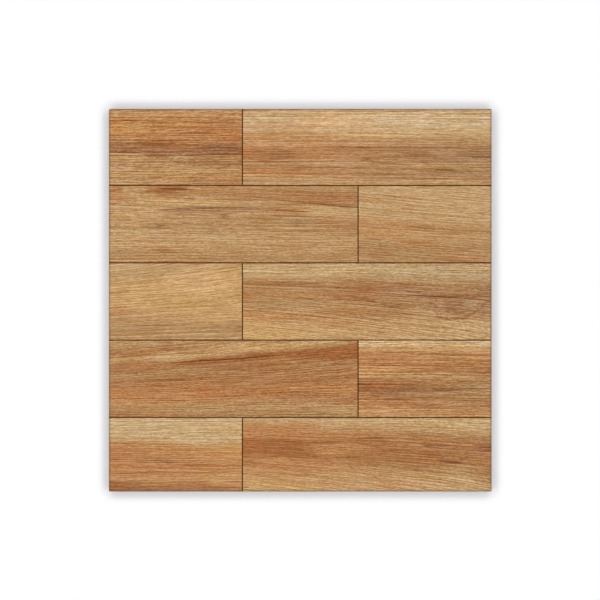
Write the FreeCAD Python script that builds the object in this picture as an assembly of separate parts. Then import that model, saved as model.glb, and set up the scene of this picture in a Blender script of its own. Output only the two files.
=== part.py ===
"""Wood-look porcelain floor tile: one dry-pressed, fired slab, in millimetres.

The face carries five courses of imitation floorboards. Pressed grooves part the courses, and one
groove across each course parts a short board from a long one, at the left and at the right in turn.
The sides draw in towards the back, so that the tile leaves its mould, and the back is a waffle of
ribs and shallow pockets that keys the adhesive.

Frame: +Z out of the face, +X along the boards, +Y towards the first course. The origin is the centre
of the back, in the plane of the ribs that the tile rests on.
"""

import FreeCAD
import Part

import os

# The slab
TILE_LENGTH = 450.0  # along the boards
TILE_WIDTH = 450.0  # across the boards
TILE_THICKNESS = 8.5  # from the back's ribs to the face
CORNER_RADIUS = 1.0  # seen from above
ARRIS_RADIUS = 0.8  # rounding between the face and the sides
SIDE_DRAFT = 0.8  # how far the back stands in from the sides
SIDE_DRAFT_HEIGHT = 3.0  # where the drawn-in part of the side ends

# The pressed boards
FIRST_COURSE_WIDTH = 90.1  # from the tile's +Y edge to the middle of the first groove
COURSE_WIDTH = 90.9  # from groove to groove; the last course has what is left
LEAST_COURSE_WIDTH = 30.0  # a narrower strip at the -Y edge stays part of the course beside it
SHORT_BOARD_LENGTH = 157.0  # from the tile's end to the middle of the end joint

# The grooves between the boards, a blunt V
GROOVE_WIDTH = 1.6
GROOVE_FLOOR_WIDTH = 0.5
GROOVE_DEPTH = 0.7

# The waffle back
POCKET_SIZE = 26.0  # at the mouth
POCKET_DEPTH = 0.8
POCKET_DRAFT = 0.5  # how far the floor stands in from the mouth
POCKET_CORNER_CHAMFER = 2.0
RIB_WIDTH = 4.0
LEAST_BACK_MARGIN = 10.0  # plain land between the pockets and the edge of the back

# How far a cutting tool runs past the surface that it opens
OVERRUN = 1.0

HALF_LENGTH = TILE_LENGTH / 2
HALF_WIDTH = TILE_WIDTH / 2


def rounded_rectangle(length, width, radius, height):
    """A closed outline with round corners, centred on the Z axis, at the given height."""
    x, y = length / 2, width / 2
    corners = [FreeCAD.Vector(sx * x, sy * y, height) for sx, sy in ((1, 1), (-1, 1), (-1, -1), (1, -1))]
    edges = []
    for i, corner in enumerate(corners):
        to_last = (corners[i - 1] - corner).normalize() * radius
        to_next = (corners[(i + 1) % 4] - corner).normalize() * radius
        centre = corner + to_last + to_next
        middle = centre + (corner - centre).normalize() * radius
        edges.append(Part.Arc(corner + to_last, middle, corner + to_next).toShape())
    sides = [
        Part.makeLine(edges[i].Vertexes[-1].Point, edges[(i + 1) % 4].Vertexes[0].Point) for i in range(4)
    ]
    return Part.Wire([edge for pair in zip(edges, sides) for edge in pair])


def pressed_slab():
    """The slab with its drawn-in lower sides and its rounded upper arris."""
    back = rounded_rectangle(
        TILE_LENGTH - 2 * SIDE_DRAFT, TILE_WIDTH - 2 * SIDE_DRAFT, CORNER_RADIUS, 0
    )
    shoulder = rounded_rectangle(TILE_LENGTH, TILE_WIDTH, CORNER_RADIUS, SIDE_DRAFT_HEIGHT)
    lower = Part.makeLoft([back, shoulder], True, True)
    upper = Part.Face(shoulder).extrude(FreeCAD.Vector(0, 0, TILE_THICKNESS - SIDE_DRAFT_HEIGHT))
    slab = lower.fuse(upper).removeSplitter()
    arris = [edge for edge in slab.Edges if edge.BoundBox.ZMin > TILE_THICKNESS - ARRIS_RADIUS / 2]
    return slab.makeFillet(min(ARRIS_RADIUS, 0.9 * CORNER_RADIUS), arris)


def groove_tool(start, end):
    """A straight groove of the blunt V section, cut into the face from start to end."""
    run = end - start
    across = FreeCAD.Vector(0, 0, 1).cross(run).normalize()
    up = FreeCAD.Vector(0, 0, 1)
    section = [
        (GROOVE_WIDTH / 2, OVERRUN),
        (GROOVE_WIDTH / 2, 0),
        (GROOVE_FLOOR_WIDTH / 2, -GROOVE_DEPTH),
        (-GROOVE_FLOOR_WIDTH / 2, -GROOVE_DEPTH),
        (-GROOVE_WIDTH / 2, 0),
        (-GROOVE_WIDTH / 2, OVERRUN),
    ]
    points = [start + across * side + up * rise for side, rise in section]
    return Part.Face(Part.makePolygon(points + points[:1])).extrude(run)


def course_lines():
    """The Y of the groove under each course but the last."""
    lines = []
    y = HALF_WIDTH - FIRST_COURSE_WIDTH
    while y - LEAST_COURSE_WIDTH > -HALF_WIDTH:
        lines.append(y)
        y -= COURSE_WIDTH
    return lines


def board_grooves():
    """The grooves along the courses and the end joints across them, as one tool."""
    lines = course_lines()
    end = HALF_LENGTH + OVERRUN
    grooves = [
        groove_tool(FreeCAD.Vector(-end, y, TILE_THICKNESS), FreeCAD.Vector(end, y, TILE_THICKNESS))
        for y in lines
    ]
    limits = [HALF_WIDTH + OVERRUN, *lines, -HALF_WIDTH - OVERRUN]
    joint = HALF_LENGTH - SHORT_BOARD_LENGTH
    for course in range(len(lines) + 1):
        x = -joint if course % 2 == 0 else joint
        top = FreeCAD.Vector(x, limits[course], TILE_THICKNESS)
        bottom = FreeCAD.Vector(x, limits[course + 1], TILE_THICKNESS)
        grooves.append(groove_tool(top, bottom))
    return grooves[0].multiFuse(grooves[1:]).removeSplitter()


def pocket_places(back_size):
    """The middles of the pockets that fit along one side of the back, with a rib in its middle."""
    pitch = POCKET_SIZE + RIB_WIDTH
    each_half = int((back_size / 2 - LEAST_BACK_MARGIN + RIB_WIDTH / 2) // pitch)
    return [(i + 0.5) * pitch for i in range(-each_half, each_half)]


def pocket_tool():
    """One pocket of the back with drawn-in walls and cut corners, centred on the Z axis."""
    mouth = POCKET_SIZE / 2
    floor = mouth - POCKET_DRAFT
    # A wedge tapers along Y, so it is turned to stand on its mouth.
    tool = Part.makeWedge(-mouth, 0, -mouth, -floor, -floor, mouth, POCKET_DEPTH, mouth, floor, floor)
    tool.rotate(FreeCAD.Vector(), FreeCAD.Vector(1, 0, 0), 90)
    wall_corners = [edge for edge in tool.Edges if edge.BoundBox.ZLength > POCKET_DEPTH / 2]
    return tool.makeChamfer(POCKET_CORNER_CHAMFER, wall_corners)


def back_pockets():
    """The pockets pressed into the back, in even rows between the ribs."""
    pocket = pocket_tool()
    return [
        pocket.translated(FreeCAD.Vector(x, y, 0))
        for x in pocket_places(TILE_LENGTH - 2 * SIDE_DRAFT)
        for y in pocket_places(TILE_WIDTH - 2 * SIDE_DRAFT)
    ]


def porcelain_tile():
    """The finished tile, one solid."""
    return pressed_slab().cut([board_grooves(), *back_pockets()]).removeSplitter()


def main():
    tile = porcelain_tile()
    solid = tile.Solids[0]
    box = solid.BoundBox
    print(f"solids {len(tile.Solids)}, valid {solid.isValid()}, faces {len(solid.Faces)}")
    print(f"size {box.XLength:.2f} x {box.YLength:.2f} x {box.ZLength:.2f} mm, {solid.Volume / 1000:.1f} cm3")
    os.makedirs("parts", exist_ok=True)
    solid.exportStep("parts/porcelain_tile.step")


main()
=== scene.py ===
# %% [markdown]
# # A wood-look porcelain floor tile
# A tile like this starts as dry clay powder. A press squeezes the powder into a slab with one blow, and
# the upper die leaves five courses of boards in the face: grooves between the boards and a shallow wood
# grain. The slab is dried, sprayed with a matt glaze, printed with ceramic inks and fired at 1200 degrees.
# This lesson dresses the bare slab in that order: the pressing first, then the glaze and its print, then
# the studio.

import math
from collections import namedtuple

import bpy
import numpy as np
from mathutils.geometry import delaunay_2d_cdt
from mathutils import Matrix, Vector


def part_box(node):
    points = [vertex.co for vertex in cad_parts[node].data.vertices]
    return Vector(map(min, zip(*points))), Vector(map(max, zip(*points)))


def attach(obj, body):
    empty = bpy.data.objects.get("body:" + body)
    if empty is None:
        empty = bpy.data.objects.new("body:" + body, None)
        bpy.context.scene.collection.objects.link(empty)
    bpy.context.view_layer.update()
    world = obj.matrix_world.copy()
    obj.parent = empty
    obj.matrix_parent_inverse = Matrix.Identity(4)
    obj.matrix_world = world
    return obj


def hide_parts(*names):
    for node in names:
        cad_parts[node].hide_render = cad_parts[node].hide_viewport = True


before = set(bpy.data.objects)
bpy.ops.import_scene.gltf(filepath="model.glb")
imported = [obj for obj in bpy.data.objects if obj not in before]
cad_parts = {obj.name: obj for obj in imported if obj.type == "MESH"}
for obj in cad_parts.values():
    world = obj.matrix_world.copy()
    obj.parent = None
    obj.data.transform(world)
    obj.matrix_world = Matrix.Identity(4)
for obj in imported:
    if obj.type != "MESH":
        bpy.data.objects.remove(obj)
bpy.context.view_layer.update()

# %% [markdown]
# ## The sizes
# The slab gives its own length, width and thickness, so they are measured and not written down again.
# What a press tool cuts into it can't be read off a box, so those few sizes are named here, in
# millimetres. Blender counts in metres, and one factor turns the finished mesh into them.

# %% Sizes of the tile
MM = 0.001
low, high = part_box("porcelain_tile")
HALF_LENGTH = (high.x - low.x) / 2 / MM
HALF_WIDTH = (high.y - low.y) / 2 / MM
FACE_HEIGHT = high.z / MM
CORNER_RADIUS = 1.0
ARRIS_RADIUS = 0.8
SIDE_DRAFT = 0.8
SIDE_DRAFT_HEIGHT = 3.0
GROOVE_WIDTH = 1.6
GROOVE_FLOOR_WIDTH = 0.5
GROOVE_DEPTH = 0.7
print(f"tile {2 * HALF_LENGTH:.1f} x {2 * HALF_WIDTH:.1f} x {FACE_HEIGHT:.2f} mm")

# %% [markdown]
# ## The boards
# Five courses lie one below the other, and one end joint parts each course into a short and a long
# board, at the left and at the right in turn. A small record for each board keeps its edges, because the
# grooves, the print and the relief all ask where a board starts.

# %% The ten boards
FIRST_COURSE_WIDTH = 90.1
COURSE_WIDTH = 90.9
COURSES = 5
SHORT_BOARD_LENGTH = 157.0
Board = namedtuple("Board", "number left right top bottom")

course_lines = [HALF_WIDTH - FIRST_COURSE_WIDTH - COURSE_WIDTH * i for i in range(COURSES - 1)]
joint_lines = [(SHORT_BOARD_LENGTH - HALF_LENGTH) * (-1) ** course for course in range(COURSES)]
course_limits = [HALF_WIDTH, *course_lines, -HALF_WIDTH]
boards = []
for course, joint in enumerate(joint_lines):
    for left, right in ((-HALF_LENGTH, joint), (joint, HALF_LENGTH)):
        boards.append(Board(len(boards), left, right, course_limits[course], course_limits[course + 1]))
for board in boards:
    print(f"board {board.number}: {board.right - board.left:.1f} x {board.top - board.bottom:.1f} mm")

# %% [markdown]
# ## The lines of the face
# The face is one grid of quads. A grid laid out line by line beats a subdivided plane here, for two reasons.
# Its lines can be set exactly on the edges of the grooves and round the arris, and it can be fine across the
# boards, where grain lies close, and coarse along them, where nothing changes quickly.

# %% Grid lines
STEP_ALONG = 5.0
STEP_ACROSS = 0.65
ARRIS_STEPS = 5
EDGE_SHADE_AND_INK_WIDTH = 3.0  # how far the painted shade of the arris, partly pooled ink, reaches in from the edge


def filled(marks, step):
    """The marks in order, with even lines between any two that are more than a step apart."""
    lines = []
    for start, end in zip(marks, marks[1:]):
        lines.extend(np.linspace(start, end, math.ceil((end - start) / step) + 1)[:-1])
    return np.array([*lines, marks[-1]])


def face_lines(half_side, grooves, step):
    """Grid lines from edge to edge: the arris at both ends, both lips and both floor edges of each groove."""
    turns = np.linspace(0, math.pi / 2, ARRIS_STEPS + 1)
    bends = [half_side - inset for inset in (EDGE_SHADE_AND_INK_WIDTH, EDGE_SHADE_AND_INK_WIDTH / 2, CORNER_RADIUS)]
    edge = [*bends, *(half_side - ARRIS_RADIUS * (1 - np.sin(turns)))]
    lips = (GROOVE_WIDTH / 2, GROOVE_FLOOR_WIDTH / 2, -GROOVE_FLOOR_WIDTH / 2, -GROOVE_WIDTH / 2)
    marks = [sign * mark for mark in edge for sign in (-1, 1)] + [g + lip for g in grooves for lip in lips]
    return filled(sorted(marks), step)


x_lines = face_lines(HALF_LENGTH, sorted(set(joint_lines)), STEP_ALONG)
y_lines = face_lines(HALF_WIDTH, course_lines, STEP_ACROSS)
print(f"face grid: {len(x_lines)} lines along, {len(y_lines)} across")

# %% [markdown]
# ## The pressed face
# Each point of the grid sinks by the deepest thing above it: a groove, or the arris, the small rounding
# that keeps the edge from chipping. Near a corner the square grid is drawn in to a circle, so the corner
# is round from above as well.

# %% Heights of the face
TINY = 1e-9  # mm; keeps a division by nothing away

x, y = np.meshgrid(x_lines, y_lines)
point_course = np.searchsorted(-np.array(course_lines), -y)
point_joint = np.array(joint_lines)[point_course]


def groove_sink(distance):
    """How deep the blunt V of a groove lies at a distance from its middle line."""
    wall = (GROOVE_WIDTH - GROOVE_FLOOR_WIDTH) / 2
    return GROOVE_DEPTH * np.clip((GROOVE_WIDTH / 2 - np.abs(distance)) / wall, 0, 1)


sink = groove_sink(x - point_joint)
for line in course_lines:
    sink = np.maximum(sink, groove_sink(y - line))
over_x = np.maximum(np.abs(x) - (HALF_LENGTH - CORNER_RADIUS), 0)
over_y = np.maximum(np.abs(y) - (HALF_WIDTH - CORNER_RADIUS), 0)
reach = np.maximum(over_x, over_y)
into_arris = np.maximum(reach - (CORNER_RADIUS - ARRIS_RADIUS), 0)
arris = ARRIS_RADIUS - np.sqrt(np.maximum(ARRIS_RADIUS**2 - into_arris**2, 0))
pull = reach / np.maximum(np.hypot(over_x, over_y), TINY)
face_x = x - np.sign(x) * over_x * (1 - pull)
face_y = y - np.sign(y) * over_y * (1 - pull)
face_z = FACE_HEIGHT - np.maximum(sink, arris)
print(f"face height from {face_z.min():.2f} to {face_z.max():.2f} mm")

# %% [markdown]
# ## The sides and the waffle back
# The sides drop from the arris and then draw in a little, so that the tile leaves its mould. The back is
# a waffle of ribs and shallow pockets, which the adhesive grips. The ribs are one flat sheet with many
# holes. Blender's Delaunay tool fills such a sheet with triangles between the outline and the pockets,
# which saves thinking out a pattern of faces by hand.

# %% Outline rings and pockets
POCKET_SIZE = 26.0
POCKET_DEPTH = 0.8
POCKET_DRAFT = 0.5
POCKET_CHAMFER = 2.0
RIB_WIDTH = 4.0
POCKETS_EACH_HALF = 7

rows, columns = x.shape
index = np.arange(rows * columns).reshape(rows, columns)
ring = np.concatenate([index[0, :-1], index[:-1, -1], index[-1, :0:-1], index[:0:-1, 0]])
face_points = np.stack([face_x, face_y, face_z], axis=-1).reshape(-1, 3)
shoulder = face_points[ring] * (1, 1, 0) + (0, 0, SIDE_DRAFT_HEIGHT)
drawn_in = np.array([1 - SIDE_DRAFT / HALF_LENGTH, 1 - SIDE_DRAFT / HALF_WIDTH, 0])
foot = shoulder * drawn_in


def pocket_outline(half_side):
    """The eight corners of a square with its corners cut, counterclockwise."""
    h, c = half_side, half_side - POCKET_CHAMFER
    return np.array([(h, -c), (h, c), (c, h), (-c, h), (-h, c), (-h, -c), (-c, -h), (c, -h)])


places = (np.arange(-POCKETS_EACH_HALF, POCKETS_EACH_HALF) + 0.5) * (POCKET_SIZE + RIB_WIDTH)
pocket_middles = np.array([(px, py) for px in places for py in places])
mouth, floor = pocket_outline(POCKET_SIZE / 2), pocket_outline(POCKET_SIZE / 2 - POCKET_DRAFT)
mouths = np.pad((pocket_middles[:, None] + mouth).reshape(-1, 2), ((0, 0), (0, 1)))
floors = np.pad(
    (pocket_middles[:, None] + floor).reshape(-1, 2), ((0, 0), (0, 1)), constant_values=POCKET_DEPTH
)
print(f"outline of {len(ring)} points, {len(pocket_middles)} pockets")

# %% [markdown]
# ## One closed mesh
# All the points go into one list, and every face is a row of numbers into that list. The mesh is closed,
# as the fired tile is one piece. Each face also notes which surface it is: one of the ten boards, the
# bare body at the sides and in the pockets, or the ribs that touch the kiln.

# %% Points and faces
BODY, RIBS = len(boards), len(boards) + 1


def loop_pairs(loop):
    """Each point number of a closed loop with the next one."""
    return list(zip(loop, np.roll(loop, -1)))


points = np.concatenate([face_points, shoulder, foot, mouths, floors])
shoulder_ring = len(face_points) + np.arange(len(ring))
foot_ring = shoulder_ring + len(ring)
mouth_loops = foot_ring[-1] + 1 + np.arange(len(mouths)).reshape(-1, len(mouth))
floor_loops = mouth_loops + len(mouths)

cell_corners = [index[:-1, :-1], index[:-1, 1:], index[1:, 1:], index[1:, :-1]]
face_quads = np.stack(cell_corners, axis=-1).reshape(-1, 4)
faces = face_quads.tolist()
middle_x = points[face_quads, 0].mean(axis=1)
middle_course = np.searchsorted(-np.array(course_lines), -points[face_quads, 1].mean(axis=1))
surfaces = (2 * middle_course + (middle_x > np.array(joint_lines)[middle_course])).tolist()

for upper, lower in ((ring, shoulder_ring), (shoulder_ring, foot_ring)):
    for (a, b), (c, d) in zip(loop_pairs(upper), loop_pairs(lower)):
        faces.append([a, c, d, b])
        surfaces.append(BODY)
for mouth_loop, floor_loop in zip(mouth_loops, floor_loops):
    for (a, b), (c, d) in zip(loop_pairs(mouth_loop), loop_pairs(floor_loop)):
        faces.append([a, b, d, c])
        surfaces.append(BODY)
    faces.append(floor_loop[::-1].tolist())
    surfaces.append(BODY)
print(f"{len(faces)} faces before the ribs")

# %% [markdown]
# ## The ribs
# On the real tile the ribs are the only part of the back that touches the kiln and, later, the adhesive
# bed. The fill lays its triangles over the whole back, pockets as well, so a triangle whose middle lies
# in a pocket is left out.

# %% The rib sheet
FILL_INSIDE = 1  # the Delaunay tool's number for triangles inside the outline only
SAME_POINT = 1e-6  # mm; nearer points than that would count as one
sheet = np.concatenate([foot_ring, mouth_loops.ravel()])
sheet_edges = [pair for loop in (foot_ring, *mouth_loops) for pair in loop_pairs(loop - foot_ring[0])]
_, _, triangles, origins, _, _ = delaunay_2d_cdt(
    [tuple(p) for p in points[sheet, :2]],
    [tuple(map(int, edge)) for edge in sheet_edges],
    [],
    FILL_INSIDE,
    SAME_POINT,
)
pocket_pitch = POCKET_SIZE + RIB_WIDTH
for triangle in triangles:
    corners = [sheet[origins[corner][0]] for corner in triangle]
    middle = points[corners, :2].mean(axis=0)
    off_rib = np.abs((middle / pocket_pitch) % 1 - 0.5) * pocket_pitch
    in_field = np.abs(middle).max() < POCKETS_EACH_HALF * pocket_pitch
    cut_corner = off_rib.sum() > POCKET_SIZE - POCKET_CHAMFER
    if in_field and off_rib.max() < POCKET_SIZE / 2 and not cut_corner:
        continue
    faces.append(corners[::-1])
    surfaces.append(RIBS)
print(f"{len(faces)} faces with the ribs")

# %% [markdown]
# ## Into Blender
# The lists become a mesh in one call, which is much quicker than adding face by face. All faces are
# shaded smooth, so the arris looks round, and edges that turn sharply are marked, so the lips of the
# grooves and the pockets stay crisp.

# %% The tile's mesh
SHARP_TURN = math.radians(35)
mesh = bpy.data.meshes.new("glazed_tile")
mesh.from_pydata((points * MM).tolist(), [], [list(map(int, face)) for face in faces])
mesh.polygons.foreach_set("use_smooth", [True] * len(faces))
mesh.polygons.foreach_set("material_index", surfaces)
mesh.set_sharp_from_angle(angle=SHARP_TURN)
tile = bpy.data.objects.new("glazed_tile", mesh)
bpy.context.scene.collection.objects.link(tile)
print("mesh needed repair:", mesh.validate())

# %% [markdown]
# ## Grain coordinates
# The print follows the grain of its wood, so every point of the face gets its place on its own board:
# how far along, how far across, and the board's number, which makes every board's noise its own. Where
# the grain of a board runs at a slant, the place across slides with it. The numbers are the slants at
# the board's top and bottom edge, as millimetres of drop for each millimetre along. Two more numbers go
# with each point: whether the die presses grain into it, and how dark it is printed: dark ink in the
# grooves, and painted shade of the rounded arris, partly pooled ink, along the tile's edge.

# %% Slant of the grain, board by board
SLANTS = [
    (0.00, 0.00), (0.00, 0.01),
    (0.05, -0.01), (0.08, 0.07),
    (-0.14, -0.01), (0.00, 0.14),
    (-0.10, 0.00), (0.01, 0.00),
    (0.01, 0.00), (0.00, 0.14),
]


def grain_place(board, along, down):
    """Where a point of a board lies along and across its grain, in millimetres from its top left corner."""
    top_slant, bottom_slant = SLANTS[board.number]
    slant = top_slant + (bottom_slant - top_slant) * down / (board.top - board.bottom)
    return along, down - slant * (along - (board.right - board.left) / 2)


print("steepest slant:", max(abs(slant) for pair in SLANTS for slant in pair))

# %% What each point carries
BOARD_APART = 7.3  # how far apart the boards' noise lies, in noise cells
EDGE_SHADE_AND_INK = (0.75, 0.2, 0.0)  # painted shade of the rounded arris, partly pooled ink: its strength at the tile's edge, half way in, and where it ends
GROOVE_INK = 2.2  # dark ink at a groove's floor: more than full, so most of the wall is dark as well
point_board = 2 * point_course + (x > point_joint)
grain = np.zeros((len(points), 3))
for board in boards:
    chosen = np.flatnonzero(point_board == board.number)
    spot = face_points[chosen]
    grain[chosen, 0], grain[chosen, 1] = grain_place(board, spot[:, 0] - board.left, board.top - spot[:, 1])
    grain[chosen, 2] = BOARD_APART * (board.number + 1)
mesh.attributes.new("grain", "FLOAT_VECTOR", "POINT").data.foreach_set("vector", grain.ravel())
not_face = np.zeros(len(points) - len(face_points))
flat = np.concatenate([(np.maximum(sink, arris) == 0).ravel(), not_face])
mesh.attributes.new("pressed", "FLOAT", "POINT").data.foreach_set("value", flat.astype(float))
# painted shade: the print darkens towards the tile's edge, where the rounded arris would fall into shade,
# partly from ink pooled there
to_edge = np.minimum(HALF_LENGTH - np.abs(x), HALF_WIDTH - np.abs(y))
edge_shade_and_ink = np.interp(to_edge, [0, EDGE_SHADE_AND_INK_WIDTH / 2, EDGE_SHADE_AND_INK_WIDTH], EDGE_SHADE_AND_INK)
joint_ink_and_edge_shade = np.append(np.maximum(GROOVE_INK * sink / GROOVE_DEPTH, edge_shade_and_ink), not_face)
mesh.attributes.new("joint ink and edge shade", "FLOAT", "POINT").data.foreach_set("value", joint_ink_and_edge_shade)
print(f"{int(flat.sum())} points of the face carry the pressed grain")

# %% [markdown]
# ## Adding nodes
# The grain is drawn with nodes, twice: once to press it into the mesh and once to print it. One small
# function adds any node with its settings and its links, in either kind of tree. Sockets go by name or
# by number. The Mix node needs numbers, because several of its sockets share a name: 2 and 3 mix plain
# numbers, 6 and 7 mix colours, and the mixed colour comes out at 2.

# %% One function for every node
def add(tree, kind, inputs=None, **settings):
    """A new node with these settings. Inputs go by name or number, and are values or other nodes' sockets."""
    node = tree.nodes.new(kind)
    for name, value in settings.items():
        setattr(node, name, value)
    for name, value in (inputs or {}).items():
        if isinstance(value, bpy.types.NodeSocket):
            tree.links.new(value, node.inputs[name])
        else:
            node.inputs[name].default_value = value
    return node


print("one function adds every node")

# %% [markdown]
# ## One drawing of the grain
# Wood grain has lines of several kinds, one inside the other: broad growth bands, ridges, short flecks,
# long fibres, dashes and pores. Each is noise that is stretched along the board. Real pores are 0.3 mm
# wide. They are drawn 1 mm wide here, because anything finer than a pixel of the picture turns to grey.
# Slow noises move the lines first: two sway them across, so that none is ruled, and one slips them
# along, so that their ends don't line up. A fine line also gets a painted highlight beside it, which
# stands in for low light catching a pore's rim. It is made from the same noise, taken once more a
# little aside and turned round.

# %% Grain recipe
SWAYS = [  # length, width and reach of each sway in mm, and the axis it pushes along
    (140.0, 34.0, 5.0, "Y"),
    (50.0, 9.0, 0.6, "Y"),
    (120.0, 2.2, 22.0, "X"),
]
GRAIN_LINES = {  # length and width of the lines in mm, and whether a painted highlight runs beside them
    "bands": (40.0, 6.0, False),
    "ridges": (45.0, 3.2, False),
    "flecks": (6.5, 3.2, False),
    "fibres": (150.0, 1.0, True),
    "dashes": (15.0, 1.0, True),
    "pores": (3.2, 1.0, True),
}
RIM_HIGHLIGHT_OFFSET = 1.2  # mm from a fine line to its painted highlight
SWAY_DETAIL, LINE_DETAIL = 1.0, 0.0  # finer noise inside a sway, and inside a line


def stretched_noise(tree, place, length, width, detail, aside=0.0):
    """Noise in cells of this length and width in mm, taken at a place or a little aside of it."""
    cell = {0: place, 1: (1 / length, 1 / width, 1), 2: (0, aside / width, 0)}
    stretched = add(tree, "ShaderNodeVectorMath", cell, operation="MULTIPLY_ADD").outputs[0]
    noise = {"Vector": stretched, "Scale": 1.0, "Detail": detail}
    return add(tree, "ShaderNodeTexNoise", noise).outputs[0]


def draw_grain(tree, place):
    """The swaying place that the grain follows, and each kind of line as noise between 0 and 1."""
    for length, width, reach, axis in SWAYS:
        noise = stretched_noise(tree, place, length, width, SWAY_DETAIL)
        swung = {0: noise, 1: reach, 2: -reach / 2}
        push = add(tree, "ShaderNodeMath", swung, operation="MULTIPLY_ADD").outputs[0]
        move = add(tree, "ShaderNodeCombineXYZ", {axis: push}).outputs[0]
        place = add(tree, "ShaderNodeVectorMath", {0: place, 1: move}, operation="ADD").outputs[0]
    lines = {}
    for name, (length, width, highlighted) in GRAIN_LINES.items():
        line = stretched_noise(tree, place, length, width, LINE_DETAIL)
        if highlighted:  # a factor of -1 takes the shifted line away from twice the line itself, which paints a pale highlight beside it
            shifted = stretched_noise(tree, place, length, width, LINE_DETAIL, aside=RIM_HIGHLIGHT_OFFSET)
            away = {0: -1.0, 2: line, 3: shifted}
            line = add(tree, "ShaderNodeMix", away, data_type="FLOAT", clamp_factor=False).outputs[0]
        lines[name] = line
    return place, lines


print(len(GRAIN_LINES), "kinds of grain lines")

# %% [markdown]
# ## Pressing the grain
# The upper die is engraved with the ridges of the same grain, less than two tenths of a millimetre deep.
# A displacement texture could do it, but Geometry Nodes has the same noise as the shader, so one recipe
# gives a relief that lies exactly under its print. The modifier is applied at once, because the exported
# mesh should hold the relief itself.

# %% Press the face
PRESS_DEPTH = 0.18  # mm that the strongest ridge line would sink

press = bpy.data.node_groups.new("engraved die", "GeometryNodeTree")
press.interface.new_socket("Geometry", in_out="INPUT", socket_type="NodeSocketGeometry")
press.interface.new_socket("Geometry", in_out="OUTPUT", socket_type="NodeSocketGeometry")
powder = add(press, "NodeGroupInput").outputs[0]
place = add(press, "GeometryNodeInputNamedAttribute", {"Name": "grain"}, data_type="FLOAT_VECTOR").outputs[0]
touched = add(press, "GeometryNodeInputNamedAttribute", {"Name": "pressed"}, data_type="FLOAT").outputs[0]
_, lines = draw_grain(press, place)
depth = add(press, "ShaderNodeMath", {0: lines["ridges"], 1: touched}, operation="MULTIPLY").outputs[0]
sunk = {0: depth, 1: -PRESS_DEPTH * MM}
down = add(press, "ShaderNodeMath", sunk, operation="MULTIPLY").outputs[0]
offset = add(press, "ShaderNodeCombineXYZ", {"Z": down}).outputs[0]
pressed = add(press, "GeometryNodeSetPosition", {"Geometry": powder, "Offset": offset}).outputs[0]
add(press, "NodeGroupOutput", {0: pressed})

tile.modifiers.new("press", "NODES").node_group = press
ready = bpy.context.evaluated_depsgraph_get()
pressed_mesh = bpy.data.meshes.new_from_object(
    tile.evaluated_get(ready), preserve_all_data_layers=True, depsgraph=ready
)
tile.modifiers.clear()
tile.data = pressed_mesh
heights = np.array([pressed_mesh.vertices[i].co.z for i in np.flatnonzero(flat)]) / MM
print(f"relief from {FACE_HEIGHT - heights.max():.3f} to {FACE_HEIGHT - heights.min():.3f} mm below the face")

# %% [markdown]
# ## Ink colours
# Ceramic inks are pigments that survive the kiln: iron browns, a yellow and a black. The printer lays
# them in dots too small to see, so the eye reads mixed wood tones. Each tone has a name, as a painter
# would name it, and is written as an sRGB hex value. Shaders count in linear light, and one function
# turns hex into that.

# %% Wood tones
def linear(hex_colour):
    """An sRGB hex colour as linear red, green, blue and full alpha."""
    shares = [int(hex_colour[i : i + 2], 16) / 255 for i in (1, 3, 5)]
    return [s / 12.92 if s <= 0.04045 else ((s + 0.055) / 1.055) ** 2.4 for s in shares] + [1.0]


TONES = {
    "cream": "#D1B48D",
    "pale straw": "#C9A97A",
    "straw": "#C19C6C",
    "gold": "#C69C65",
    "peach": "#CA9B6F",
    "apricot": "#DEB27F",
    "dun": "#B69970",
    "tan": "#B99060",
    "honey": "#BD8C5A",
    "amber": "#C18950",
    "cinnamon": "#B77F4E",
    "terracotta": "#B46D3D",
    "chestnut": "#A9774A",
    "russet": "#9F6537",
    "umber": "#956642",
    "walnut": "#6B3107",
    "drab": "#A78057",
    "olive": "#AF8758",
    # the groove's dark ink, also used for the painted arris shade along the tile's edge
    "groove": "#563002",
}
print(len(TONES), "tones")

# %% [markdown]
# ## The figure of each board
# The figure is what makes a board a board: pale sapwood, a warm heart, dark streaks, a knot. Two lists
# of tones run from a board's top edge to its bottom edge, one at its left end and one at its right, and
# the print blends from one to the other. Brush marks come on top. A mark runs from one point to another
# and has a thickness, a tone and a strength. Everything is in millimetres from the board's top left
# corner. "grain" says how strongly the fine lines show: more in dark heartwood, less in pale sapwood.

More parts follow.
